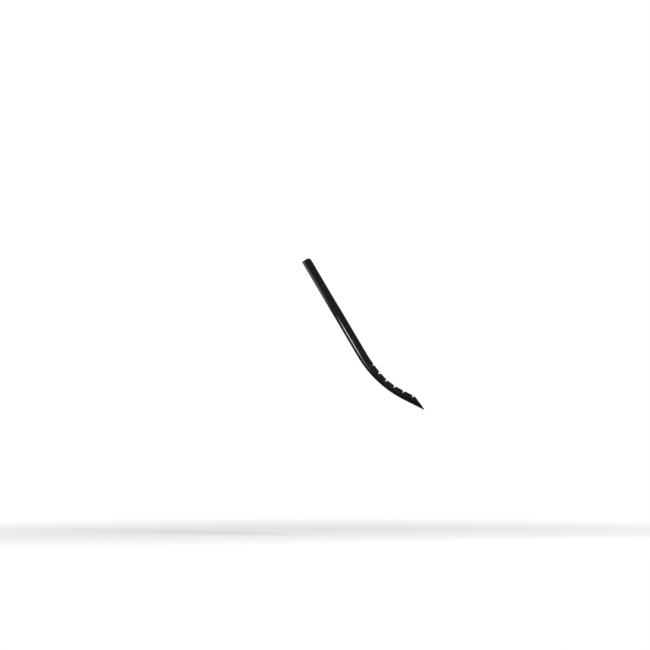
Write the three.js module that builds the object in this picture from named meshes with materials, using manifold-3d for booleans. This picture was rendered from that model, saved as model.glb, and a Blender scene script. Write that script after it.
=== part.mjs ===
// Down-tube guard: one moulded channel of satin black elastomer that lies along
// the underside of a bicycle's down tube and follows its bend to the bottom bracket.
// Millimetres, +Z up, +X towards the rear wheel, +Y across the bicycle.
// The origin is the middle of the flat seat on the straight stretch.

import * as THREE from 'three';
import { mergeVertices } from 'three/addons/utils/BufferGeometryUtils.js';
import Module from 'manifold-3d';

const degrees = THREE.MathUtils.degToRad;

// Spine: the lowest line of the underside, from the upper end to the lower tip
const straightLength = 272;
const bendRadius = 278;
const bendAngle = degrees(32.8);
const tailLength = 56;
const upperSlope = degrees(59.5);

// Section, measured along the sheet from the centre line outwards
const wall = 2.4;
const floorHalfWidth = 9.5;
const shoulderWidth = 6;
const shoulderAngle = degrees(29);
const flankWidth = 8.4;
const creaseWidth = 3;
const wingWidth = 15.2;

// Lean of the wings away from the centre plane, at four stations of the spine
const wingLeanUpper = degrees(23);
const wingLeanMiddle = degrees(15);
const wingLeanBend = degrees(50);
const wingLeanTail = degrees(43);
const upperToMiddle = { start: 110, end: 175 };
const middleToBend = { start: 275, end: 375 };
const bendToTail = { start: 384, end: 430 };

// Bead on the outside of each crease, running out at both of its ends
const beadHeight = 0.9;
const beadStart = { start: 145, end: 185 };
const beadEnd = { start: 275, end: 325 };

// Relief notches in both wings, counted from the lower end. The uppermost is the
// smallest: it has the others' form at a share of their size.
const notchCount = 6;
const notchPitch = 27;
const notchLand = 3.3;
const notchOpening = 6;
const notchDepth = 6.6;
const uppermostNotchShare = 0.74;
const notchRootRadius = 0.8;
const notchUpperSideLean = degrees(20);

// Ends
const upperCornerRadius = 8.5;
const taperLength = 35.7;
const taperTopEasing = 2.5;
const tipThickness = 2;
const tongueCornerEasing = 7;

// Facets
const spineSteps = 64;
const shoulderSteps = 4;
const beadSteps = 6;
const rimSteps = 4;
const cutterArcSteps = 6;
const cutterMargin = 10;
const cutterOvershoot = 0.4;
const endAllowance = 4;
const shortestEdge = 0.02;

// Sizes that follow from the ones above
const bendLength = bendRadius * bendAngle;
const spineLength = straightLength + bendLength + tailLength;
const shoulderStart = floorHalfWidth;
const flankStart = shoulderStart + shoulderWidth;
const creaseStart = flankStart + flankWidth;
const wingStart = creaseStart + creaseWidth;
const sheetHalfWidth = wingStart + wingWidth;
const taperStart = spineLength - taperLength;
const seatStation = straightLength / 2;

// 0 before a range of stations, 1 after it, and an even rise between
function rise(station, range) {
  return THREE.MathUtils.smoothstep(station, range.start, range.end);
}

function wingLeanAt(station) {
  let lean = wingLeanUpper;
  lean += (wingLeanMiddle - wingLeanUpper) * rise(station, upperToMiddle);
  lean += (wingLeanBend - wingLeanMiddle) * rise(station, middleToBend);
  lean += (wingLeanTail - wingLeanBend) * rise(station, bendToTail);
  return lean;
}

function beadShareAt(station) {
  return rise(station, beadStart) * (1 - rise(station, beadEnd));
}

// Place, direction and inward normal of the spine, in its own frame that starts
// at the upper end
function spineAt(station) {
  const along = THREE.MathUtils.clamp(station - straightLength, 0, bendLength);
  const turned = along / bendRadius;
  const upper = new THREE.Vector3(Math.cos(upperSlope), 0, -Math.sin(upperSlope));
  const slope = upperSlope - turned;
  const tangent = new THREE.Vector3(Math.cos(slope), 0, -Math.sin(slope));
  const normal = new THREE.Vector3(Math.sin(slope), 0, Math.cos(slope));
  const upperNormal = new THREE.Vector3(Math.sin(upperSlope), 0, Math.cos(upperSlope));
  const place = upper.multiplyScalar(Math.min(station, straightLength));
  place.addScaledVector(upperNormal, bendRadius);
  place.addScaledVector(normal, -bendRadius);
  place.addScaledVector(tangent, Math.max(station - straightLength - bendLength, 0));
  return { place, tangent, normal };
}

// Point of the flat sheet's outer skin after its folds, with the skin's heading
function foldedSkin(distance, wingLean) {
  const folds = [
    { start: 0, width: shoulderStart, turn: 0 },
    { start: shoulderStart, width: shoulderWidth, turn: shoulderAngle },
    { start: flankStart, width: flankWidth, turn: 0 },
    { start: creaseStart, width: creaseWidth, turn: Math.PI / 2 - wingLean - shoulderAngle },
    { start: wingStart, width: wingWidth, turn: 0 },
  ];
  const skin = { across: 0, height: 0, heading: 0 };
  for (const fold of folds) {
    const used = THREE.MathUtils.clamp(distance - fold.start, 0, fold.width);
    const turned = (fold.turn * used) / fold.width;
    const chord = turned === 0 ? used : (2 * Math.sin(turned / 2) * used) / turned;
    skin.across += chord * Math.cos(skin.heading + turned / 2);
    skin.height += chord * Math.sin(skin.heading + turned / 2);
    skin.heading += turned;
  }
  return skin;
}

// A point of the flat sheet (across, depth, length) carried to the folded guard. The
// sheet is longer than the guard at both ends, which are trimmed afterwards.
function wrapped(point) {
  const station = point.z - endAllowance;
  const depth = point.y < 0 ? point.y * beadShareAt(station) : point.y;
  const skin = foldedSkin(Math.abs(point.x), wingLeanAt(station));
  const across = skin.across - depth * Math.sin(skin.heading);
  const height = skin.height + depth * Math.cos(skin.heading);
  const spine = spineAt(station);
  const carried = spine.place.addScaledVector(spine.normal, height);
  carried.y = Math.sign(point.x) * across;
  return carried;
}

// Outline of the flat sheet's section, with stations where the folds come
function sheetSection() {
  const half = [[0, 0], [shoulderStart, 0]];
  for (let i = 1; i <= shoulderSteps; i += 1) {
    half.push([shoulderStart + (shoulderWidth * i) / shoulderSteps, 0]);
  }
  for (let i = 0; i <= beadSteps; i += 1) {
    const share = i / beadSteps;
    half.push([creaseStart + creaseWidth * share, -beadHeight * Math.sin(Math.PI * share)]);
  }
  const rimRadius = wall / 2;
  for (let i = 0; i <= rimSteps; i += 1) {
    const angle = -Math.PI / 2 + (Math.PI * i) / rimSteps;
    half.push([
      sheetHalfWidth - rimRadius + rimRadius * Math.cos(angle),
      rimRadius + rimRadius * Math.sin(angle),
    ]);
  }
  for (let i = beadSteps / 2; i >= 0; i -= 1) {
    half.push([creaseStart + (2 * creaseWidth * i) / beadSteps, wall]);
  }
  for (let i = shoulderSteps; i >= 0; i -= 1) {
    half.push([shoulderStart + (shoulderWidth * i) / shoulderSteps, wall]);
  }
  half.push([0, wall]);
  const right = half.map(([x, y]) => new THREE.Vector2(x, y));
  const left = half.slice(1, -1).map(([x, y]) => new THREE.Vector2(-x, y)).reverse();
  return new THREE.Shape([...right, ...left]);
}

// Height of the rounded rim's crest above the spine
function rimHeightAt(station) {
  const skin = foldedSkin(sheetHalfWidth, wingLeanAt(station));
  return skin.height + (wall / 2) * Math.cos(skin.heading);
}

// Half width, at the lower tip, of what the taper leaves
function tongueHalfWidth() {
  const flank = foldedSkin(flankStart, wingLeanTail);
  return flank.across + (tipThickness - flank.height) / Math.tan(shoulderAngle);
}

function positionsOnly(geometry) {
  geometry.deleteAttribute('normal');
  geometry.deleteAttribute('uv');
  return mergeVertices(geometry);
}

function shellGeometry() {
  const length = spineLength + 2 * endAllowance;
  const options = { depth: length, steps: spineSteps, bevelEnabled: false };
  const geometry = positionsOnly(new THREE.ExtrudeGeometry(sheetSection(), options));
  const position = geometry.getAttribute('position');
  const point = new THREE.Vector3();
  for (let i = 0; i < position.count; i += 1) {
    point.fromBufferAttribute(position, i);
    position.setXYZ(i, ...wrapped(point).toArray());
  }
  return geometry;
}

// A cutter: an outline in (station, height) of the spine's frame at one station,
// carried right across the guard
function sideCutter(outline, station) {
  const halfSpan = sheetHalfWidth + cutterMargin;
  const options = { depth: 2 * halfSpan, bevelEnabled: false, curveSegments: cutterArcSteps };
  const geometry = positionsOnly(new THREE.ExtrudeGeometry(outline, options));
  geometry.translate(0, 0, -halfSpan);
  const spine = spineAt(station);
  const across = new THREE.Vector3().crossVectors(spine.tangent, spine.normal);
  const basis = new THREE.Matrix4().makeBasis(spine.tangent, spine.normal, across);
  basis.setPosition(spine.place);
  return geometry.applyMatrix4(basis);
}

// One notch up to a wing's rim: its upper side is the steeper one, and its two sides
// meet in a rounded root
function notchOutline(rim, share) {
  const depth = notchDepth * share;
  const halfOpening = (notchOpening / 2) * share;
  const floor = rim - depth;
  const upperSide = -Math.tan(notchUpperSideLean);
  const root = -halfOpening - depth * upperSide;
  const lowerSide = (halfOpening - root) / depth;
  const top = depth + cutterMargin;
  const outline = new THREE.Shape();
  outline.moveTo(root + upperSide * top, floor + top);
  outline.lineTo(root + upperSide * notchRootRadius, floor + notchRootRadius);
  outline.quadraticCurveTo(
    root,
    floor,
    root + lowerSide * notchRootRadius,
    floor + notchRootRadius,
  );
  outline.lineTo(root + lowerSide * top, floor + top);
  return outline;
}

function notchCutters() {
  const cutters = [];
  for (let i = 0; i < notchCount; i += 1) {
    const station = taperStart - notchLand - i * notchPitch;
    const share = i === notchCount - 1 ? uppermostNotchShare : 1;
    cutters.push(sideCutter(notchOutline(rimHeightAt(station), share), station));
  }
  return cutters;
}

// The upper end is trimmed square, with the corner of each wing rounded
function upperEndCutter() {
  const rim = rimHeightAt(0);
  const radius = upperCornerRadius;
  const outline = new THREE.Shape();
  outline.moveTo(-cutterMargin, -cutterMargin);
  outline.lineTo(0, -cutterMargin);
  outline.lineTo(0, rim - radius);
  outline.absarc(radius, rim - radius, radius, Math.PI, Math.PI / 2, true);
  outline.lineTo(radius, rim + cutterMargin);
  outline.lineTo(-cutterMargin, rim + cutterMargin);
  return sideCutter(outline, 0);
}

function taperSlope() {
  return (rimHeightAt(spineLength) - tipThickness) / taperLength;
}

// The wings run down over the taper to what is left of the floor at the tip
function taperCutter() {
  const rim = rimHeightAt(spineLength);
  const slope = taperSlope();
  const easing = taperTopEasing;
  const outline = new THREE.Shape();
  outline.moveTo(-taperLength - easing, rim + cutterMargin);
  outline.lineTo(-taperLength - easing, rim + cutterOvershoot);
  outline.quadraticCurveTo(-taperLength, rim, -taperLength + easing, rim - slope * easing);
  outline.lineTo(cutterMargin, tipThickness - slope * cutterMargin);
  outline.lineTo(cutterMargin, rim + cutterMargin);
  return sideCutter(outline, spineLength);
}

// The lower tip in plan: a tongue with rounded corners. The outline lies in
// (station, across) and is carried along the spine's normal.
function tongueCutter() {
  const rim = rimHeightAt(spineLength);
  const flankSlope = taperSlope() / Math.tan(shoulderAngle);
  const corner = tongueHalfWidth();
  const easing = tongueCornerEasing;
  const reach = easing + cutterMargin;
  const outline = new THREE.Shape();
  outline.moveTo(-reach, corner + flankSlope * reach);
  outline.lineTo(-easing, corner + flankSlope * easing);
  outline.quadraticCurveTo(0, corner, 0, corner - easing);
  outline.lineTo(0, easing - corner);
  outline.quadraticCurveTo(0, -corner, -easing, -corner - flankSlope * easing);
  outline.lineTo(-reach, -corner - flankSlope * reach);
  outline.lineTo(cutterMargin, -corner - flankSlope * reach);
  outline.lineTo(cutterMargin, corner + flankSlope * reach);
  const depth = rim + 2 * cutterMargin;
  const options = { depth, bevelEnabled: false, curveSegments: cutterArcSteps };
  const geometry = positionsOnly(new THREE.ExtrudeGeometry(outline, options));
  geometry.translate(0, 0, -rim - cutterMargin);
  const spine = spineAt(spineLength);
  const across = new THREE.Vector3().crossVectors(spine.tangent, spine.normal);
  const outward = spine.normal.clone().negate();
  const basis = new THREE.Matrix4().makeBasis(spine.tangent, across, outward);
  basis.setPosition(spine.place);
  return geometry.applyMatrix4(basis);
}

function toManifold(wasm, geometry) {
  const vertProperties = Float32Array.from(geometry.getAttribute('position').array);
  const triVerts = Uint32Array.from(geometry.index.array);
  const mesh = new wasm.Mesh({ numProp: 3, vertProperties, triVerts, tolerance: shortestEdge });
  return new wasm.Manifold(mesh);
}

function toGeometry(solid) {
  const mesh = solid.getMesh();
  const geometry = new THREE.BufferGeometry();
  geometry.setAttribute('position', new THREE.BufferAttribute(mesh.vertProperties, 3));
  geometry.setIndex(new THREE.BufferAttribute(mesh.triVerts, 1));
  geometry.computeVertexNormals();
  return geometry;
}

function guardGeometry(wasm) {
  const cutters = [...notchCutters(), upperEndCutter(), taperCutter(), tongueCutter()];
  let solid = toManifold(wasm, shellGeometry());
  for (const cutter of cutters) {
    solid = solid.subtract(toManifold(wasm, cutter));
  }
  const seat = spineAt(seatStation);
  const seatCentre = seat.place.addScaledVector(seat.normal, wall);
  return toGeometry(solid).translate(-seatCentre.x, -seatCentre.y, -seatCentre.z);
}

const wasm = await Module();
wasm.setup();

const guardPlastic = new THREE.MeshStandardMaterial({
  color: 0x0c0c0d,
  roughness: 0.55,
  metalness: 0,
});

const guard = new THREE.Mesh(guardGeometry(wasm), guardPlastic);
guard.name = 'guard_shell';

const model = new THREE.Group();
model.add(guard);

export default model;
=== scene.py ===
"""Down-tube guard: the moulded shell with its grained skin, and a plain studio around it."""

import math

import bmesh
import bpy
from bpy.props import FloatProperty, FloatVectorProperty, IntProperty, PointerProperty
from mathutils import Matrix, Vector
from mathutils.bvhtree import BVHTree
from mathutils.geometry import delaunay_2d_cdt


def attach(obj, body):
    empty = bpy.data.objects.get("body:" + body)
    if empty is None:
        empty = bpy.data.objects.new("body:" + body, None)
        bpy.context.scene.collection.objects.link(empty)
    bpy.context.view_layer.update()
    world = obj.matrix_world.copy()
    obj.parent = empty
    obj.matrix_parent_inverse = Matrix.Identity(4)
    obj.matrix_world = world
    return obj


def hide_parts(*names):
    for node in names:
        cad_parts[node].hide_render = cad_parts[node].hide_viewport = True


bl_info = {
    "name": "Down-tube guard",
    "version": (1, 0, 0),
    "blender": (4, 5, 0),
    "location": "View3D > Sidebar > Guard",
    "description": "Models a moulded guard for the underside of a bicycle's down tube",
    "category": "Object",
}

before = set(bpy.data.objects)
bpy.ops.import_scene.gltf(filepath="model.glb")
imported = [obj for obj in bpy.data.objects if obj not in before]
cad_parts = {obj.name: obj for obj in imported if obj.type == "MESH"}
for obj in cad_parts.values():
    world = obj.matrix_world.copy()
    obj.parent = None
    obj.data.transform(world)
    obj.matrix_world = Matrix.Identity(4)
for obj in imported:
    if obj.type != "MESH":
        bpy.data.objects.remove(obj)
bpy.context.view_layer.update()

# Names of the replaced node, of its material slot and of the mesh's attributes
SHELL_NODE = "guard_shell"
SKIN_SLOT = "guard_plastic"
SHEET_LAYER = "sheet"
GROOVE_LAYER = "groove"

# Steps of the outline's corners and taper, and of the rounding of its edges
UPPER_CORNER_STEPS = 12
NOTCH_CORNER_STEPS = 4
TAPER_STEPS = 20
TONGUE_STEPS = 8
EDGE_SEGMENTS = 3

# Cuts at the sheet's folds, and the distance from cut to cut along it in metres
SHOULDER_CUTS = 6
CREASE_CUTS = 10
STRAIGHT_STEP = 0.014
BEND_STEP = 0.005

# Places that lie closer than this in metres count as one
WELD = 1e-6

# The triangulation's mode that keeps only what lies inside the loops
INSIDE_LOOPS = 1

HEX_SIDES = 6
SHARP_ANGLE = math.radians(38)

# The camera's sensor in millimetres, and the picture in pixels
SENSOR_WIDTH = 36.0
PICTURE_WIDTH = 650


class GuardShape(bpy.types.PropertyGroup):
    """Sizes of the moulded sheet and of the line that it follows."""

    straight_length: FloatProperty(
        name="Straight length", description="Spine before the bend", default=0.272, unit="LENGTH"
    )
    bend_radius: FloatProperty(
        name="Bend radius", description="Radius of the spine's bend", default=0.278, unit="LENGTH"
    )
    bend_angle: FloatProperty(
        name="Bend angle", description="Turn of the bend", default=math.radians(32.8), unit="ROTATION"
    )
    tail_length: FloatProperty(
        name="Tail length", description="Spine after the bend", default=0.056, unit="LENGTH"
    )
    upper_slope: FloatProperty(
        name="Upper slope", description="Fall of the straight", default=math.radians(59.5), unit="ROTATION"
    )
    wall: FloatProperty(
        name="Wall", description="Thickness of the sheet", default=0.0024, unit="LENGTH"
    )
    floor_half_width: FloatProperty(
        name="Floor half width", description="Flat floor, one side", default=0.0095, unit="LENGTH"
    )
    shoulder_width: FloatProperty(
        name="Shoulder width", description="Rounded stretch beside the floor", default=0.006, unit="LENGTH"
    )
    shoulder_angle: FloatProperty(
        name="Shoulder angle", description="Turn of the shoulder", default=math.radians(29), unit="ROTATION"
    )
    flank_width: FloatProperty(
        name="Flank width", description="Flat stretch up to the crease", default=0.0084, unit="LENGTH"
    )
    crease_width: FloatProperty(
        name="Crease width", description="Rounded stretch of the crease", default=0.003, unit="LENGTH"
    )
    wing_width: FloatProperty(
        name="Wing width", description="From the crease to the rim", default=0.0152, unit="LENGTH"
    )
    bead_height: FloatProperty(
        name="Bead height", description="Rise of the bead on the crease", default=0.0009, unit="LENGTH"
    )
    edge_round: FloatProperty(
        name="Edge rounding", description="Radius of the moulded edges", default=0.0006, unit="LENGTH"
    )


class GuardLeans(bpy.types.PropertyGroup):
    """Lean of the wings away from the middle plane, and where it changes."""

    upper: FloatProperty(
        name="Upper", description="At the upper end", default=math.radians(23), unit="ROTATION"
    )
    middle: FloatProperty(
        name="Middle", description="Before the bend", default=math.radians(15), unit="ROTATION"
    )
    bend: FloatProperty(
        name="Bend", description="In the bend", default=math.radians(50), unit="ROTATION"
    )
    tail: FloatProperty(
        name="Tail", description="On the tail", default=math.radians(43), unit="ROTATION"
    )
    upper_to_middle: FloatVectorProperty(
        name="Upper to middle", description="Stations of the change", default=(0.110, 0.175), size=2
    )
    middle_to_bend: FloatVectorProperty(
        name="Middle to bend", description="Stations of the change", default=(0.275, 0.375), size=2
    )
    bend_to_tail: FloatVectorProperty(
        name="Bend to tail", description="Stations of the change", default=(0.384, 0.430), size=2
    )
    bead_start: FloatVectorProperty(
        name="Bead start", description="Stations where the bead rises", default=(0.145, 0.185), size=2
    )
    bead_end: FloatVectorProperty(
        name="Bead end", description="Stations where the bead sinks", default=(0.275, 0.325), size=2
    )


class GuardEdges(bpy.types.PropertyGroup):
    """Notches, corners and taper of the sheet's edge."""

    notch_count: IntProperty(name="Notches", description="Notches in each wing", default=6, min=0)
    notch_pitch: FloatProperty(
        name="Notch pitch", description="From notch to notch", default=0.027, unit="LENGTH"
    )
    notch_land: FloatProperty(
        name="Notch land", description="Last notch to taper", default=0.0033, unit="LENGTH"
    )
    notch_opening: FloatProperty(
        name="Notch opening", description="Width at the rim", default=0.006, unit="LENGTH"
    )
    notch_depth: FloatProperty(
        name="Notch depth", description="From the rim to the root", default=0.0066, unit="LENGTH"
    )
    uppermost_share: FloatProperty(
        name="Uppermost notch", description="Its size as a share of the others'", default=0.74
    )
    notch_root: FloatProperty(
        name="Notch root", description="Rounding of the notch's root", default=0.0008, unit="LENGTH"
    )
    notch_corner: FloatProperty(
        name="Notch corner", description="Rounding where notch meets rim", default=0.0011, unit="LENGTH"
    )
    notch_lean: FloatProperty(
        name="Notch lean", description="Lean of the upper side", default=math.radians(20), unit="ROTATION"
    )
    upper_corner: FloatProperty(
        name="Upper corner", description="Radius of the upper corners", default=0.0085, unit="LENGTH"
    )
    taper_length: FloatProperty(
        name="Taper length", description="Fall of the wings to the tip", default=0.0357, unit="LENGTH"
    )
    taper_easing: FloatProperty(
        name="Taper easing", description="Rounding at the taper's top", default=0.0025, unit="LENGTH"
    )
    tip_thickness: FloatProperty(
        name="Tip thickness", description="Height left at the tip", default=0.002, unit="LENGTH"
    )
    tongue_easing: FloatProperty(
        name="Tongue easing", description="Rounding of the tip's corners", default=0.007, unit="LENGTH"
    )


class GuardGrain(bpy.types.PropertyGroup):
    """Relief of the outer skin: low six-sided cells with grooves between them."""

    pitch: FloatProperty(
        name="Cell pitch", description="From cell to cell", default=0.0034, unit="LENGTH"
    )
    groove_width: FloatProperty(
        name="Groove width", description="Between two cells", default=0.0010, unit="LENGTH"
    )
    groove_depth: FloatProperty(
        name="Groove depth", description="Below the cells' tops", default=0.00028, unit="LENGTH"
    )
    hem: FloatProperty(
        name="Hem", description="Plain border along every edge", default=0.0011, unit="LENGTH"
    )
    crease_hem: FloatProperty(
        name="Crease hem", description="Plain border beside the crease", default=0.0004, unit="LENGTH"
    )


class GuardFinish(bpy.types.PropertyGroup):
    """Colours and roughness of the moulded plastic, among them painted shade, painted sheen and a painted
    highlight.
    """

    skin: FloatVectorProperty(
        name="Skin", description="Black skin", subtype="COLOR", size=3, default=(0.0063, 0.0063, 0.0067)
    )
    skin_roughness: FloatProperty(name="Skin roughness", description="Satin skin", default=0.52)
    specular: FloatProperty(name="Specular", description="Level of the highlights", default=0.06)
    mottle: FloatProperty(name="Mottle", description="Strength of the mottled shade", default=2.8)
    mottle_scale: FloatProperty(name="Mottle scale", description="Scale of its noise", default=190.0)
    # Painted shade: how much darker the grooves between the cells are made.
    groove_painted_shade: FloatProperty(name="Groove shade", description="Darkness of the grooves", default=0.6)
    groove_roughness: FloatProperty(name="Groove roughness", description="In the grooves", default=0.8)
    # Painted light: how much paler the skin is made round the bend.
    bend_painted_light: FloatProperty(name="Bend shade", description="Paleness round the bend", default=0.45)
    worn: FloatVectorProperty(
        name="Worn", description="Rubbed rims", subtype="COLOR", size=3, default=(0.014, 0.014, 0.0145)
    )
    # Painted shade: a deeper black on the lower underside below the creases, which climbs the wings on the
    # tail.
    underside_painted_shade: FloatVectorProperty(
        name="Deep", description="Lower underside", subtype="COLOR", size=3, default=(0.001, 0.001, 0.001)
    )
    painted_shade_roughness: FloatProperty(name="Deep roughness", description="Lower underside", default=0.85)
    lower_rise: FloatVectorProperty(
        name="Deep rise", description="Stations where the deep black begins", default=(0.280, 0.340), size=2
    )
    tail_rise: FloatVectorProperty(
        name="Tail rise", description="Stations where it climbs the wings", default=(0.385, 0.450), size=2
    )
    tail_climb: FloatProperty(
        name="Tail climb", description="How far it climbs the wings", default=0.0035, unit="LENGTH"
    )
    # Painted sheen: a grey on the upper flanks that stands in for light on them.
    flank_painted_sheen: FloatVectorProperty(
        name="Bloom", description="Upper flanks", subtype="COLOR", size=3, default=(0.072, 0.072, 0.074)
    )
    painted_sheen_fall: FloatVectorProperty(
        name="Bloom fall", description="Stations where the bloom ends", default=(0.090, 0.145), size=2
    )
    # Painted highlight: a light grey line along the beads that stands in for their glint.
    bead_painted_highlight: FloatVectorProperty(
        name="Crest", description="Light bead", subtype="COLOR", size=3, default=(0.5, 0.51, 0.52)
    )
    crest_roughness: FloatProperty(name="Crest roughness", description="Bead's crest", default=0.30)
    crest_rise: FloatVectorProperty(
        name="Crest rise", description="Stations where the line begins", default=(0.150, 0.215), size=2
    )
    crest_fall: FloatVectorProperty(
        name="Crest fall", description="Stations where the line dims", default=(0.252, 0.285), size=2
    )
    crest_end: FloatVectorProperty(
        name="Crest end", description="Stations where the line ends", default=(0.290, 0.335), size=2
    )
    dim_share: FloatProperty(name="Dim share", description="Strength of the dim line", default=0.25)
    film: FloatVectorProperty(
        name="Film", description="Seat's film", subtype="COLOR", size=3, default=(0.024, 0.024, 0.025)
    )
    film_roughness: FloatProperty(name="Film roughness", description="Seat's film", default=0.34)
    film_margin: FloatProperty(
        name="Film margin", description="Bare border of the seat", default=0.0025, unit="LENGTH"
    )


class GuardStage(bpy.types.PropertyGroup):
    """Floor, lamps and camera."""

    floor_height: FloatProperty(
        name="Floor height", description="Level of the floor", default=-0.575, unit="LENGTH"
    )
    floor_size: FloatProperty(
        name="Floor size", description="Side of the floor", default=14.0, unit="LENGTH"
    )
    lens: FloatProperty(name="Lens", description="Focal length in millimetres", default=300.0)
    pixel: FloatProperty(
        name="Pixel", description="Size of one pixel at the guard", default=0.00248, unit="LENGTH"
    )
    aim: FloatVectorProperty(
        name="Aim", description="Middle of the frame", default=(-0.0138, 0.0, -0.0404), size=3
    )
    key_offset: FloatVectorProperty(
        name="Key offset", description="Key lamp, from the aim", default=(1.45, -1.41, 0.86), size=3
    )
    key_size: FloatProperty(
        name="Key size", description="Side of the key lamp", default=0.5, unit="LENGTH"
    )
    key_power: FloatProperty(name="Key power", description="Power of the key lamp", default=40.0)
    fill_offset: FloatVectorProperty(
        name="Fill offset", description="Fill lamp, from the aim", default=(-1.6, -1.5, 0.9), size=3
    )
    fill_size: FloatProperty(
        name="Fill size", description="Side of the fill lamp", default=1.2, unit="LENGTH"
    )
    fill_power: FloatProperty(name="Fill power", description="Power of the fill lamp", default=22.0)
    world_level: FloatProperty(name="World level", description="Soft light all round", default=0.5)


def rise(station, stations):
    """0 before a range of stations, 1 after it, and a smooth rise between."""
    share = (station - stations[0]) / (stations[1] - stations[0])
    share = min(max(share, 0.0), 1.0)
    return share * share * (3.0 - 2.0 * share)


class Spine:
    """The lowest line of the underside: a straight, an arc and a straight tail."""

    def __init__(self, shape):
        self.straight = shape.straight_length
        self.radius = shape.bend_radius
        self.slope = shape.upper_slope
        self.arc = shape.bend_radius * shape.bend_angle
        self.length = self.straight + self.arc + shape.tail_length
        self.start = Vector()
        seat, _, normal = self.at(self.straight / 2)
        self.start = -(seat + normal * shape.wall)

    def at(self, station):
        """Place, direction and inward normal at a station."""
        turned = min(max(station - self.straight, 0.0), self.arc) / self.radius
        upper_direction, upper_normal = self.directions(0.0)
        direction, normal = self.directions(turned)
        place = self.start + upper_direction * min(station, self.straight)
        place += (upper_normal - normal) * self.radius
        place += direction * max(station - self.straight - self.arc, 0.0)
        return place, direction, normal

    def directions(self, turned):
        """Direction and inward normal after a part of the bend."""
        slope = self.slope - turned
        direction = Vector((math.cos(slope), 0.0, -math.sin(slope)))
        normal = Vector((math.sin(slope), 0.0, math.cos(slope)))
        return direction, normal

    def station_beside(self, station, along, height):
        """Station of a point that lies along the direction from another, at a height."""
        if self.straight < station < self.straight + self.arc:
            return station + self.radius * math.atan(along / (self.radius - height))
        return station + along


class Section:
    """The sheet's section: flat floor, shoulders, flanks, creases and wings."""

    def __init__(self, shape, leans):
        self.shape = shape
        self.leans = leans
        self.shoulder = shape.floor_half_width
        self.flank = self.shoulder + shape.shoulder_width
        self.crease = self.flank + shape.flank_width
        self.wing = self.crease + shape.crease_width
        self.rim = self.wing + shape.wing_width

    def lean(self, station):
        """Lean of the wings at a station."""
        leans = self.leans
        lean = leans.upper
        lean += (leans.middle - leans.upper) * rise(station, leans.upper_to_middle)
        lean += (leans.bend - leans.middle) * rise(station, leans.middle_to_bend)
        lean += (leans.tail - leans.bend) * rise(station, leans.bend_to_tail)
        return lean

    def folded(self, distance, lean):
        """Across, height and heading of the outer skin, at a distance from the middle."""
        turns = (
            (0.0, self.shoulder, 0.0),
            (self.shoulder, self.shape.shoulder_width, self.shape.shoulder_angle),
            (self.flank, self.shape.flank_width, 0.0),
            (self.crease, self.shape.crease_width, math.pi / 2 - lean - self.shape.shoulder_angle),
            (self.wing, self.shape.wing_width, 0.0),
        )
        across = height = heading = 0.0
        for start, width, turn in turns:
            used = min(max(distance - start, 0.0), width)
            turned = turn * used / width
            chord = used if turned == 0 else 2 * math.sin(turned / 2) * used / turned
            across += chord * math.cos(heading + turned / 2)
            height += chord * math.sin(heading + turned / 2)
            heading += turned
        return across, height, heading

    def height_at(self, distance, lean, depth):
        """Height of a point that lies at a depth below the outer skin."""
        _, height, heading = self.folded(distance, lean)
        return height + depth * math.cos(heading)

    def distance_at(self, height, station, depth):
        """Distance from the middle at which a skin reaches a height, or the rim."""
        lean = self.lean(station)
        low, high = self.shoulder, self.rim
        while high - low > WELD:
            middle = (low + high) / 2
            if self.height_at(middle, lean, depth) < height:
                low = middle
            else:
                high = middle
        return high

    def rim_height(self, station):
        """Height of the rim at its inner skin, where it is highest."""
        return self.height_at(self.rim, self.lean(station), self.shape.wall)

    def bead(self, distance, station):
        """Rise of the bead at a point of the flat sheet."""
        share = (distance - self.crease) / self.shape.crease_width
        if not 0.0 < share < 1.0:
            return 0.0
        reach = rise(station, self.leans.bead_start) * (1.0 - rise(station, self.leans.bead_end))
        return self.shape.bead_height * math.sin(math.pi * share) * reach


def arc_points(centre, radius, start, end, steps):
    """Points of a circle's arc, both ends among them."""
    points = []
    for i in range(steps + 1):
        angle = start + (end - start) * i / steps
        points.append((centre[0] + radius * math.cos(angle), centre[1] + radius * math.sin(angle)))
    return points


def eased_corner(before, corner, after, steps):
    """Points of a corner that is rounded between two points of its sides."""
    points = []
    for i in range(steps + 1):
        t = i / steps
        points.append(
            tuple(
                (1 - t) ** 2 * a + 2 * t * (1 - t) * b + t * t * c
                for a, b, c in zip(before, corner, after)
            )
        )
    return points


def towards(point, other, distance):
    """The point at a distance from one point towards another."""
    step = Vector(other) - Vector(point)
    return tuple(Vector(point) + step.normalized() * distance)


def upper_end_points(section, edges, depth):
    """Half of the upper end, from the middle to the wing's rim."""
    rim = section.rim_height(0.0)
    radius = edges.upper_corner
    centre = (radius, rim - radius)
    corner = arc_points(centre, radius, math.pi, math.pi / 2, UPPER_CORNER_STEPS)
    points = [(0.0, 0.0)]
    points += [(section.distance_at(height, 0.0, depth), station) for station, height in corner]
    return points


def edge_point(section, spine, edges, station, depth):
    """A point of the sheet's side edge: on the wing's rim, or on the taper to the tip."""
    easing = edges.taper_easing
    past = station - (spine.length - edges.taper_length)
    if past < -easing:
        return section.rim, station
    rim = section.rim_height(spine.length)
    slope = (rim - edges.tip_thickness) / edges.taper_length
    eased = min(past + easing, 2 * easing)
    fall = slope * (eased * eased / (4 * easing) + max(past - easing, 0.0))
    return section.distance_at(rim - fall, station, depth), station


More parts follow.
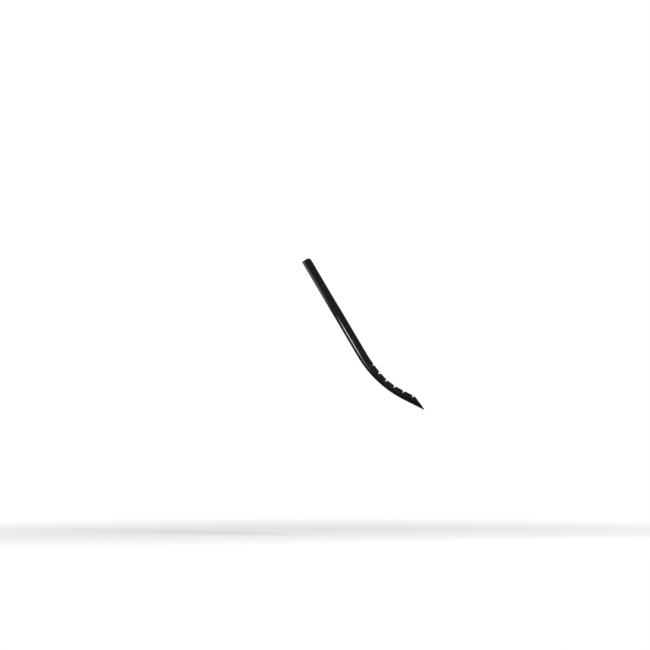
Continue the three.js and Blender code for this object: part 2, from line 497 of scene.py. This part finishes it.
def notch_points(section, spine, edges, station, share, depth):
    """One notch: rounded rim corner, upper side, rounded root, lower side, rim corner."""
    lean = section.lean(station)
    cut = edges.notch_depth * share
    half = edges.notch_opening / 2 * share
    floor = section.height_at(section.rim, lean, section.shape.wall / 2) - cut
    skin_top = section.height_at(section.rim, lean, depth)
    raised = (skin_top - floor) / cut
    root = cut * math.tan(edges.notch_lean) - half
    marks = []
    for along, height in (
        (root - (half + root) * raised, skin_top),
        (root, floor),
        (root + (half - root) * raised, skin_top),
    ):
        place = spine.station_beside(station, along, height)
        marks.append((section.distance_at(height + WELD, place, depth), place))
    upper, foot, lower = marks
    corner, easing, steps = edges.notch_corner, edges.notch_root, NOTCH_CORNER_STEPS
    before = edge_point(section, spine, edges, upper[1] - corner, depth)
    after = edge_point(section, spine, edges, lower[1] + corner, depth)
    points = eased_corner(before, upper, towards(upper, foot, corner), steps)
    points += eased_corner(towards(foot, upper, easing), foot, towards(foot, lower, easing), steps)
    points += eased_corner(towards(lower, foot, corner), lower, after, steps)
    return points


def lower_end_points(section, spine, edges, after, depth):
    """Half of the lower end, from a station of the side edge to the middle of the tip."""
    start = max(after, spine.length - edges.taper_length - edges.taper_easing)
    last = spine.length - edges.tongue_easing
    points = []
    for i in range(1, TAPER_STEPS + 1):
        station = start + (last - start) * i / TAPER_STEPS
        points.append(edge_point(section, spine, edges, station, depth))
    tip = (section.distance_at(edges.tip_thickness, spine.length, depth), spine.length)
    tip_side = (tip[0] - edges.tongue_easing, spine.length)
    points += eased_corner(points[-1], tip, tip_side, TONGUE_STEPS)[1:]
    points.append((0.0, spine.length))
    return points


def half_outline(section, spine, edges, depth):
    """Right half of one skin's outline on the flat sheet, as (distance, station)."""
    points = upper_end_points(section, edges, depth)
    last = spine.length - edges.taper_length - edges.notch_land
    for i in reversed(range(edges.notch_count)):
        station = last - i * edges.notch_pitch
        share = edges.uppermost_share if i == edges.notch_count - 1 else 1.0
        points += notch_points(section, spine, edges, station, share, depth)
    points += lower_end_points(section, spine, edges, points[-1][1], depth)
    return points


def flat_blank(bm, section, spine, edges):
    """The flat sheet as a solid with rounded edges. Returns its outer face."""
    shape = section.shape
    loops = []
    for depth in (0.0, shape.wall):
        right = half_outline(section, spine, edges, depth)
        left = [(-distance, station) for distance, station in reversed(right[1:-1])]
        loops.append(right + left)
    lower = [bm.verts.new((*point, 0.0)) for point in loops[0]]
    face = bm.faces.new(lower)
    made = bmesh.ops.extrude_face_region(bm, geom=[face], use_keep_orig=True)
    upper = {v for v in made["geom"] if isinstance(v, bmesh.types.BMVert)}
    for vert, point in zip(lower, loops[1]):
        raised = next(e.other_vert(vert) for e in vert.link_edges if e.other_vert(vert) in upper)
        raised.co = (*point, shape.wall)
    rims = [e for e in bm.edges if abs(e.verts[0].co.z - e.verts[1].co.z) < WELD]
    bmesh.ops.bevel(
        bm,
        geom=rims,
        offset=shape.edge_round,
        offset_type="OFFSET",
        segments=EDGE_SEGMENTS,
        profile=0.5,
        affect="EDGES",
        clamp_overlap=False,
        material=-1,
    )
    bm.faces.ensure_lookup_table()
    return max((f for f in bm.faces if f.calc_center_median().z < WELD), key=lambda f: f.calc_area())


def distinct(elements):
    """Elements without their repeats, in the order in which they come, which a set would lose."""
    return dict.fromkeys(elements)


def cover_of(faces):
    """A tree of some faces, which tells whether they cover a place of the flat sheet."""
    verts = distinct(v for f in faces for v in f.verts)
    places = {v: i for i, v in enumerate(verts)}
    polygons = [[places[v] for v in f.verts] for f in faces]
    return BVHTree.FromPolygons([v.co for v in verts], polygons)


def is_covered(cover, place):
    """Whether one of a tree's faces lies straight over or under a place."""
    return cover.ray_cast(place - Vector((0, 0, 1)), Vector((0, 0, 1)))[0] is not None


def fence_round(face, height):
    """A tree of upright walls on a face's edges, which tells how far its edge is."""
    fence = bmesh.new()
    corners = [fence.verts.new(v.co) for v in face.verts]
    for start, end in zip(corners, corners[1:] + corners[:1]):
        fence.edges.new((start, end))
    made = bmesh.ops.extrude_edge_only(fence, edges=fence.edges[:])
    raised = [v for v in made["geom"] if isinstance(v, bmesh.types.BMVert)]
    bmesh.ops.translate(fence, verts=raised, vec=(0.0, 0.0, height))
    tree = BVHTree.FromBMesh(fence)
    fence.free()
    return tree


def cell_radius(grain):
    """From a cell's centre to its corners."""
    return grain.pitch / math.sqrt(3)


def cell_centres(section, spine, grain, outer_face):
    """Centres of the cells that fit on the outer face, clear of its edge and of the creases."""
    cover = cover_of([outer_face])
    fence = fence_round(outer_face, section.shape.wall)
    corner_radius = cell_radius(grain)
    column_step = grain.pitch * math.sqrt(3) / 2
    crease_middle = section.crease + section.shape.crease_width / 2
    crease_clear = section.shape.crease_width / 2 + grain.crease_hem + corner_radius
    centres = []
    columns = int(section.rim / column_step)
    for column in range(-columns, columns + 1):
        distance = column * column_step
        if abs(abs(distance) - crease_middle) < crease_clear:
            continue
        offset = grain.pitch / 2 * (column % 2)
        for row in range(int(spine.length / grain.pitch) + 1):
            point = Vector((distance, row * grain.pitch + offset, 0.0))
            clear = fence.find_nearest(point)[3] > grain.hem + corner_radius
            if clear and is_covered(cover, point):
                centres.append(point)
    return centres


def add_cells(bm, centres, grain):
    """Low cells in the plane of the outer face, welded to each other. Returns their faces."""
    turn = Matrix.Rotation(math.pi / HEX_SIDES, 4, "Z")
    radius = cell_radius(grain)
    weld_reach = grain.pitch / 100
    corners = []
    for centre in centres:
        place = Matrix.Translation(centre) @ turn
        made = bmesh.ops.create_circle(
            bm, cap_ends=True, segments=HEX_SIDES, radius=radius, matrix=place
        )
        corners += made["verts"]
    bmesh.ops.remove_doubles(bm, verts=corners, dist=weld_reach)
    corners = [v for v in corners if v.is_valid]
    cells = list(distinct(f for v in corners for f in v.link_faces))
    inner = [v for v in corners if not v.is_boundary]
    ring = bmesh.ops.inset_individual(
        bm, faces=cells, thickness=grain.groove_width / 2, use_even_offset=True
    )
    groove = bm.verts.layers.float[GROOVE_LAYER]
    for vert in inner:
        vert.co.z += grain.groove_depth
        vert[groove] = 1.0
    return distinct([*cells, *ring["faces"]])


def fill_hem(bm, outer_face, cells):
    """Fills the plain border between the outer face's edge and the cells. The fill operators
    leave holes where many corners lie in one line, so the border is triangulated by hand."""
    loops = list(outer_face.edges)
    bmesh.ops.delete(bm, geom=[outer_face], context="FACES_ONLY")
    loops += distinct(e for f in cells for e in f.edges if e.is_boundary)
    verts = list(distinct(v for e in loops for v in e.verts))
    places = {v: i for i, v in enumerate(verts)}
    edges = [(places[e.verts[0]], places[e.verts[1]]) for e in loops]
    filled = delaunay_2d_cdt([v.co.xy for v in verts], edges, [], INSIDE_LOOPS, WELD / 10)
    triangles, sources = filled[2], filled[3]
    cover = cover_of(cells)
    for triangle in triangles:
        corners = [verts[sources[i][0]] for i in triangle]
        middle = sum((v.co for v in corners), Vector()) / 3
        if not is_covered(cover, middle):
            bm.faces.new(corners)


def cut_along(bm, cells, axis, places):
    """Cuts every face but the cells at places along one axis, so that they can be folded."""
    normal = Vector((0.0, 0.0, 0.0))
    normal[axis] = 1.0
    for place in places:
        faces = [f for f in bm.faces if f not in cells]
        edges = distinct(e for f in faces for e in f.edges)
        verts = distinct(v for f in faces for v in f.verts)
        bmesh.ops.bisect_plane(
            bm,
            geom=[*verts, *edges, *faces],
            dist=WELD,
            plane_co=normal * place,
            plane_no=normal,
        )


def fold_places(section):
    """Distances on both sides of the middle at which the sheet turns."""
    shape = section.shape
    places = []
    for i in range(SHOULDER_CUTS + 1):
        places.append(section.shoulder + shape.shoulder_width * i / SHOULDER_CUTS)
    for i in range(CREASE_CUTS + 1):
        places.append(section.crease + shape.crease_width * i / CREASE_CUTS)
    return [-p for p in places] + places


def bend_places(spine):
    """Stations along the spine, closer together in the bend."""
    start = spine.straight - STRAIGHT_STEP
    end = spine.straight + spine.arc + STRAIGHT_STEP
    places = []
    station = STRAIGHT_STEP
    while station < spine.length:
        places.append(station)
        station += BEND_STEP if start < station < end else STRAIGHT_STEP
    return places


def fold(bm, section, spine):
    """Carries the flat sheet to the folded and bent guard, and keeps its flat places."""
    sheet = bm.verts.layers.float_vector[SHEET_LAYER]
    for vert in bm.verts:
        flat = vert.co.copy()
        vert[sheet] = flat
        distance, station, depth = abs(flat.x), flat.y, flat.z
        if depth < WELD:
            depth -= section.bead(distance, station)
        across, height, heading = section.folded(distance, section.lean(station))
        across -= depth * math.sin(heading)
        height += depth * math.cos(heading)
        place, _, normal = spine.at(station)
        vert.co = place + normal * height
        vert.co.y = math.copysign(across, flat.x)


def input_of(node, name):
    """A node's input socket by its name, among those that are in use."""
    return next(s for s in node.inputs if s.name == name and s.enabled)


def feed(tree, value, socket):
    """Links another socket's output to a socket, or gives it a number or a colour."""
    if isinstance(value, bpy.types.NodeSocket):
        tree.links.new(value, socket)
    else:
        socket.default_value = value


def math_node(tree, operation, *values):
    """A Math node fed by sockets or numbers. Returns its output."""
    node = tree.nodes.new("ShaderNodeMath")
    node.operation = operation
    for value, socket in zip(values, node.inputs):
        feed(tree, value, socket)
    return node.outputs[0]


def product(tree, *shares):
    """The product of several shares."""
    result = shares[0]
    for share in shares[1:]:
        result = math_node(tree, "MULTIPLY", result, share)
    return result


def rising(tree, value, span):
    """0 below a span of values, 1 above it, and smooth between."""
    node = tree.nodes.new("ShaderNodeMapRange")
    node.interpolation_type = "SMOOTHSTEP"
    feed(tree, value, node.inputs["Value"])
    node.inputs["From Min"].default_value = span[0]
    node.inputs["From Max"].default_value = span[1]
    return node.outputs["Result"]


def falling(tree, value, span):
    """1 below a span of values, 0 above it, and smooth between."""
    return math_node(tree, "SUBTRACT", 1.0, rising(tree, value, span))


def noise(tree, vector, scale, detail):
    """A Noise Texture over a vector. Returns its output."""
    node = tree.nodes.new("ShaderNodeTexNoise")
    node.inputs["Scale"].default_value = scale
    node.inputs["Detail"].default_value = detail
    tree.links.new(vector, node.inputs["Vector"])
    return node.outputs["Fac"]


def attribute(tree, name):
    """A node that reads one of the mesh's attributes."""
    node = tree.nodes.new("ShaderNodeAttribute")
    node.attribute_name = name
    return node


def mixed(tree, kind, share, first, second):
    """A mix of two numbers or colours, by a share of the second. Returns its output."""
    node = tree.nodes.new("ShaderNodeMix")
    node.data_type = kind
    for name, value in (("Factor", share), ("A", first), ("B", second)):
        feed(tree, value, input_of(node, name))
    return next(s for s in node.outputs if s.enabled)


def mixed_colour(tree, share, first, second):
    """A mix of two colours, by a share of the second. Returns its output."""
    return mixed(tree, "RGBA", share, opaque(first), opaque(second))


def opaque(colour):
    """A colour with its fourth number, or a socket as it is."""
    return colour if isinstance(colour, bpy.types.NodeSocket) else (*colour, 1.0)


def bumped(tree, height, strength, distance, normal=None):
    """A Bump node over a height, on top of another normal. Returns its normal."""
    node = tree.nodes.new("ShaderNodeBump")
    node.inputs["Strength"].default_value = strength
    node.inputs["Distance"].default_value = distance
    tree.links.new(height, node.inputs["Height"])
    if normal is not None:
        tree.links.new(normal, node.inputs["Normal"])
    return node.outputs["Normal"]


class Skin:
    """The skin's nodes: the places of the flat sheet, and the patterns that lie on them."""

    def __init__(self, tree, section, spine, finish):
        self.tree = tree
        self.section = section
        self.spine = spine
        self.finish = finish
        self.place = attribute(tree, SHEET_LAYER).outputs["Vector"]
        split = tree.nodes.new("ShaderNodeSeparateXYZ")
        tree.links.new(self.place, split.inputs[0])
        self.distance = math_node(tree, "ABSOLUTE", split.outputs["X"])
        self.station = split.outputs["Y"]
        self.depth = split.outputs["Z"]
        self.groove = attribute(tree, GROOVE_LAYER).outputs["Fac"]
        self.mottle = noise(tree, self.place, scale=finish.mottle_scale, detail=4.0)
        outer_shares = (0.3, 0.5)
        outer_half = [share * section.shape.wall for share in outer_shares]
        self.outside = falling(tree, self.depth, outer_half)
        self.lower = rising(tree, self.station, finish.lower_rise)
        self.tail = rising(tree, self.station, finish.tail_rise)

    def black(self):
        """Black of the skin: mottled at random, darkened by painted shade in the grooves, made paler by
        painted light round the bend, and paler on the wings' rims where they are rubbed.
        """
        tree, finish, rim = self.tree, self.finish, self.section.rim
        rim_gaps = (-0.0022, -0.0002)
        patches = (0.42, 0.66)
        even_shade = 1.05
        at_rim = rising(tree, self.distance, [rim + gap for gap in rim_gaps])
        rubbed = product(tree, at_rim, rising(tree, self.mottle, patches))
        colour = mixed_colour(tree, rubbed, finish.skin, finish.worn)
        # Painted light: the skin is made paler round the bend, but not on the tail.
        bend_only = math_node(tree, "SUBTRACT", self.lower, self.tail)
        least = even_shade - finish.mottle / 2
        shade = math_node(tree, "MULTIPLY_ADD", self.mottle, finish.mottle, least)
        # Painted shade: the grooves are darkened.
        shade = math_node(tree, "MULTIPLY_ADD", self.groove, -finish.groove_painted_shade, shade)
        shade = math_node(tree, "MULTIPLY_ADD", bend_only, finish.bend_painted_light, shade)
        tint = tree.nodes.new("ShaderNodeVectorMath")
        tint.operation = "SCALE"
        tree.links.new(colour, tint.inputs[0])
        tree.links.new(shade, tint.inputs["Scale"])
        return tint.outputs["Vector"]

    def underside_painted_shade(self):
        """Share of the painted shade, a deeper black below the creases, which climbs the wings on the tail.
        """
        tree, section = self.tree, self.section
        climb = product(tree, self.tail, self.finish.tail_climb)
        lowered = math_node(tree, "SUBTRACT", self.distance, climb)
        below = falling(tree, lowered, (section.crease, section.wing))
        return product(tree, self.lower, self.outside, below)

    def flank_painted_sheen(self):
        """Share of the painted sheen, a dull grey on the upper flanks."""
        tree, section = self.tree, self.section
        floor_gap = 0.002
        crease_gaps = (-0.0015, 0.001)
        from_floor = rising(tree, self.distance, (section.shoulder + floor_gap, section.flank))
        to_crease = falling(tree, self.distance, [section.crease + gap for gap in crease_gaps])
        upper = falling(tree, self.station, self.finish.painted_sheen_fall)
        return product(tree, from_floor, to_crease, self.outside, upper)

    def bead_painted_highlight(self):
        """Share of the painted highlight, a light line along the beads, which dims before it ends."""
        tree, section, finish = self.tree, self.section, self.finish
        flank_gaps, wing_gaps = (0.0003, 0.0008), (-0.0007, -0.0002)
        from_flank = rising(tree, self.distance, [section.crease + gap for gap in flank_gaps])
        to_wing = falling(tree, self.distance, [section.wing + gap for gap in wing_gaps])
        begun = rising(tree, self.station, finish.crest_rise)
        ended = falling(tree, self.station, finish.crest_end)
        bright = falling(tree, self.station, finish.crest_fall)
        strength = math_node(tree, "MULTIPLY_ADD", bright, 1 - finish.dim_share, finish.dim_share)
        return product(tree, from_flank, to_wing, self.outside, begun, ended, strength)

    def film(self):
        """Share of the smooth film on the seat, which leaves a bare border."""
        tree, margin, wall = self.tree, self.finish.film_margin, self.section.shape.wall
        soft_edge = 0.0002
        skin_gaps = (-0.0001, -0.00002)
        tip_margins = 3
        side = self.section.wing + margin
        end = self.spine.length - tip_margins * margin
        inside = rising(tree, self.depth, [wall + gap for gap in skin_gaps])
        within = falling(tree, self.distance, (side, side + soft_edge))
        begun = rising(tree, self.station, (margin, margin + soft_edge))
        ended = falling(tree, self.station, (end, end + soft_edge))
        return product(tree, inside, within, begun, ended)

    def roughness(self):
        """Roughness of the bare skin, which wanders a little along the sheet."""
        wander = 0.16
        flow = noise(self.tree, self.place, scale=28.0, detail=3.0)
        least = self.finish.skin_roughness - wander / 2
        return math_node(self.tree, "MULTIPLY_ADD", flow, wander, least)

    def relief(self):
        """Normal of the fine spark grain, with the mottle's soft unevenness over it."""
        spark = noise(self.tree, self.place, scale=2600.0, detail=2.0)
        grained = bumped(self.tree, spark, strength=0.35, distance=0.00006)
        return bumped(self.tree, self.mottle, strength=0.4, distance=0.0002, normal=grained)


def guard_plastic(section, spine, finish):
    """Satin black elastomer whose patterns follow the flat sheet's own places, with painted shade, painted
    sheen and a painted highlight laid over it.
    """
    material = bpy.data.materials.new(SKIN_SLOT)
    material.use_nodes = True
    tree = material.node_tree
    skin = Skin(tree, section, spine, finish)
    colour, rough = skin.black(), skin.roughness()
    rough = mixed(tree, "FLOAT", skin.groove, rough, finish.groove_roughness)
    # Layers over the skin: painted shade below the creases, painted sheen on the upper flanks, a painted
    # highlight along the beads, and the seat's film.
    for share, layer_colour, layer_rough in (
        (skin.underside_painted_shade(), finish.underside_painted_shade, finish.painted_shade_roughness),
        (skin.flank_painted_sheen(), finish.flank_painted_sheen, finish.skin_roughness),
        (skin.bead_painted_highlight(), finish.bead_painted_highlight, finish.crest_roughness),
        (skin.film(), finish.film, finish.film_roughness),
    ):
        colour = mixed_colour(tree, share, colour, layer_colour)
        rough = mixed(tree, "FLOAT", share, rough, layer_rough)
    shader = tree.nodes["Principled BSDF"]
    tree.links.new(colour, shader.inputs["Base Color"])
    tree.links.new(rough, shader.inputs["Roughness"])
    tree.links.new(skin.relief(), shader.inputs["Normal"])
    shader.inputs["Specular IOR Level"].default_value = finish.specular
    return material


def white_background(tree, shader_node, output):
    """Shows a shader as plain white to camera, glossy and transmission rays."""
    path = tree.nodes.new("ShaderNodeLightPath")
    seen = math_node(tree, "MAXIMUM", path.outputs["Is Camera Ray"], path.outputs["Is Glossy Ray"])
    seen = math_node(tree, "MAXIMUM", seen, path.outputs["Is Transmission Ray"])
    white = tree.nodes.new("ShaderNodeBackground")
    white.inputs["Strength"].default_value = 1.0
    white.inputs["Color"].default_value = (1.0, 1.0, 1.0, 1.0)
    mix = tree.nodes.new("ShaderNodeMixShader")
    tree.links.new(seen, mix.inputs[0])
    tree.links.new(shader_node.outputs[0], mix.inputs[1])
    tree.links.new(white.outputs[0], mix.inputs[2])
    tree.links.new(mix.outputs[0], output.inputs["Surface"])


def studio_world(scene, level):
    """Soft white light from all round, at a level."""
    world = bpy.data.worlds.new("studio")
    scene.world = world
    world.use_nodes = True
    tree = world.node_tree
    soft = tree.nodes["Background"]
    soft.inputs["Color"].default_value = (1.0, 1.0, 1.0, 1.0)
    soft.inputs["Strength"].default_value = level
    white_background(tree, soft, tree.nodes["World Output"])


def floor_material():
    """Pale floor that keeps the guard's shadow, runs out to white, and hides nothing from below."""
    pale_colour = (0.92, 0.92, 0.92, 1.0)
    run_out_span = (0.7, 1.8)
    material = bpy.data.materials.new("pale_floor")
    material.use_nodes = True
    tree = material.node_tree
    tree.nodes.remove(tree.nodes["Principled BSDF"])
    output = tree.nodes["Material Output"]
    pale = tree.nodes.new("ShaderNodeBsdfDiffuse")
    pale.inputs["Color"].default_value = pale_colour
    white = tree.nodes.new("ShaderNodeEmission")
    white.inputs["Strength"].default_value = 1.0
    place = tree.nodes.new("ShaderNodeTexCoord")
    reach = tree.nodes.new("ShaderNodeVectorMath")
    reach.operation = "LENGTH"
    tree.links.new(place.outputs["Object"], reach.inputs[0])
    far = rising(tree, reach.outputs["Value"], run_out_span)
    path = tree.nodes.new("ShaderNodeLightPath")
    fade = math_node(tree, "MULTIPLY", far, path.outputs["Is Camera Ray"])
    run_out = tree.nodes.new("ShaderNodeMixShader")
    tree.links.new(fade, run_out.inputs[0])
    tree.links.new(pale.outputs[0], run_out.inputs[1])
    tree.links.new(white.outputs[0], run_out.inputs[2])
    clear = tree.nodes.new("ShaderNodeBsdfTransparent")
    side = tree.nodes.new("ShaderNodeNewGeometry")
    one_sided = tree.nodes.new("ShaderNodeMixShader")
    tree.links.new(side.outputs["Backfacing"], one_sided.inputs[0])
    tree.links.new(run_out.outputs[0], one_sided.inputs[1])
    tree.links.new(clear.outputs[0], one_sided.inputs[2])
    tree.links.new(one_sided.outputs[0], output.inputs["Surface"])
    return material


def add_lamp(scene, name, place, aim, size, power):
    """A soft square lamp that faces a point."""
    data = bpy.data.lights.new(name, "AREA")
    data.size = size
    data.energy = power
    lamp = bpy.data.objects.new(name, data)
    lamp.location = place
    lamp.rotation_euler = (Vector(aim) - Vector(place)).to_track_quat("-Z", "Y").to_euler()
    scene.collection.objects.link(lamp)


class GUARD_OT_shell(bpy.types.Operator):
    """Models the moulded shell in the place of its solid"""

    bl_idname = "guard.shell"
    bl_label = "Moulded shell"

    def execute(self, context):
        scene = context.scene
        shape, grain = scene.guard_shape, scene.guard_grain
        spine = Spine(shape)
        section = Section(shape, scene.guard_leans)
        bm = bmesh.new()
        bm.verts.layers.float_vector.new(SHEET_LAYER)
        bm.verts.layers.float.new(GROOVE_LAYER)
        outer_face = flat_blank(bm, section, spine, scene.guard_edges)
        centres = cell_centres(section, spine, grain, outer_face)
        cells = add_cells(bm, centres, grain)
        fill_hem(bm, outer_face, cells)
        cut_along(bm, cells, 0, fold_places(section))
        cut_along(bm, cells, 1, bend_places(spine))
        fold(bm, section, spine)
        bmesh.ops.recalc_face_normals(bm, faces=bm.faces[:])
        if any(not e.is_manifold for e in bm.edges):
            raise RuntimeError("the moulded shell isn't closed")
        mesh = bpy.data.meshes.new("moulded_guard")
        for face in bm.faces:
            face.smooth = True
        bm.to_mesh(mesh)
        bm.free()
        mesh.set_sharp_from_angle(angle=SHARP_ANGLE)
        mesh.materials.append(guard_plastic(section, spine, scene.guard_finish))
        shell = bpy.data.objects.new("moulded_guard", mesh)
        scene.collection.objects.link(shell)
        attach(shell, "root")
        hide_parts(SHELL_NODE)
        return {"FINISHED"}


class GUARD_OT_stage(bpy.types.Operator):
    """Sets up the pale floor, the soft lamps and the camera"""

    bl_idname = "guard.stage"
    bl_label = "Stage"

    def execute(self, context):
        scene = context.scene
        stage = scene.guard_stage
        scene.view_settings.view_transform = "Standard"
        aim = Vector(stage.aim)
        bm = bmesh.new()
        bmesh.ops.create_grid(bm, x_segments=1, y_segments=1, size=stage.floor_size / 2)
        bmesh.ops.translate(bm, verts=bm.verts, vec=(0.0, 0.0, stage.floor_height))
        mesh = bpy.data.meshes.new("pale_floor")
        bm.to_mesh(mesh)
        bm.free()
        mesh.materials.append(floor_material())
        floor = bpy.data.objects.new("pale_floor", mesh)
        scene.collection.objects.link(floor)
        studio_world(scene, stage.world_level)
        key, fill = aim + Vector(stage.key_offset), aim + Vector(stage.fill_offset)
        add_lamp(scene, "key", key, aim, stage.key_size, stage.key_power)
        add_lamp(scene, "fill", fill, aim, stage.fill_size, stage.fill_power)
        data = bpy.data.cameras.new("camera")
        data.sensor_width = SENSOR_WIDTH
        data.lens = stage.lens
        distance = stage.pixel * PICTURE_WIDTH * data.lens / data.sensor_width
        camera = bpy.data.objects.new("camera", data)
        camera.location = aim + Vector((0.0, -distance, 0.0))
        camera.rotation_euler = (math.pi / 2, 0.0, 0.0)
        scene.collection.objects.link(camera)
        scene.camera = camera
        return {"FINISHED"}


class GUARD_PT_panel(bpy.types.Panel):
    """Lists the guard's pieces and its stage"""

    bl_idname = "GUARD_PT_panel"
    bl_label = "Down-tube guard"
    bl_space_type = "VIEW_3D"
    bl_region_type = "UI"
    bl_category = "Guard"

    def draw(self, context):
        for operator in (GUARD_OT_shell, GUARD_OT_stage):
            self.layout.operator(operator.bl_idname)
        for name in GROUPS:
            group = getattr(context.scene, name)
            column = self.layout.column()
            column.label(text=group.__doc__)
            for key in group.__annotations__:
                column.prop(group, key)


GROUPS = {
    "guard_shape": GuardShape,
    "guard_leans": GuardLeans,
    "guard_edges": GuardEdges,
    "guard_grain": GuardGrain,
    "guard_finish": GuardFinish,
    "guard_stage": GuardStage,
}
CLASSES = (*GROUPS.values(), GUARD_OT_shell, GUARD_OT_stage, GUARD_PT_panel)


def register():
    for cls in CLASSES:
        bpy.utils.register_class(cls)
    for name, group in GROUPS.items():
        setattr(bpy.types.Scene, name, PointerProperty(type=group))


def unregister():
    for name in GROUPS:
        delattr(bpy.types.Scene, name)
    for cls in reversed(CLASSES):
        bpy.utils.unregister_class(cls)


def main():
    register()
    bpy.ops.guard.shell()
    bpy.ops.guard.stage()


if __name__ == "__main__":
    main()
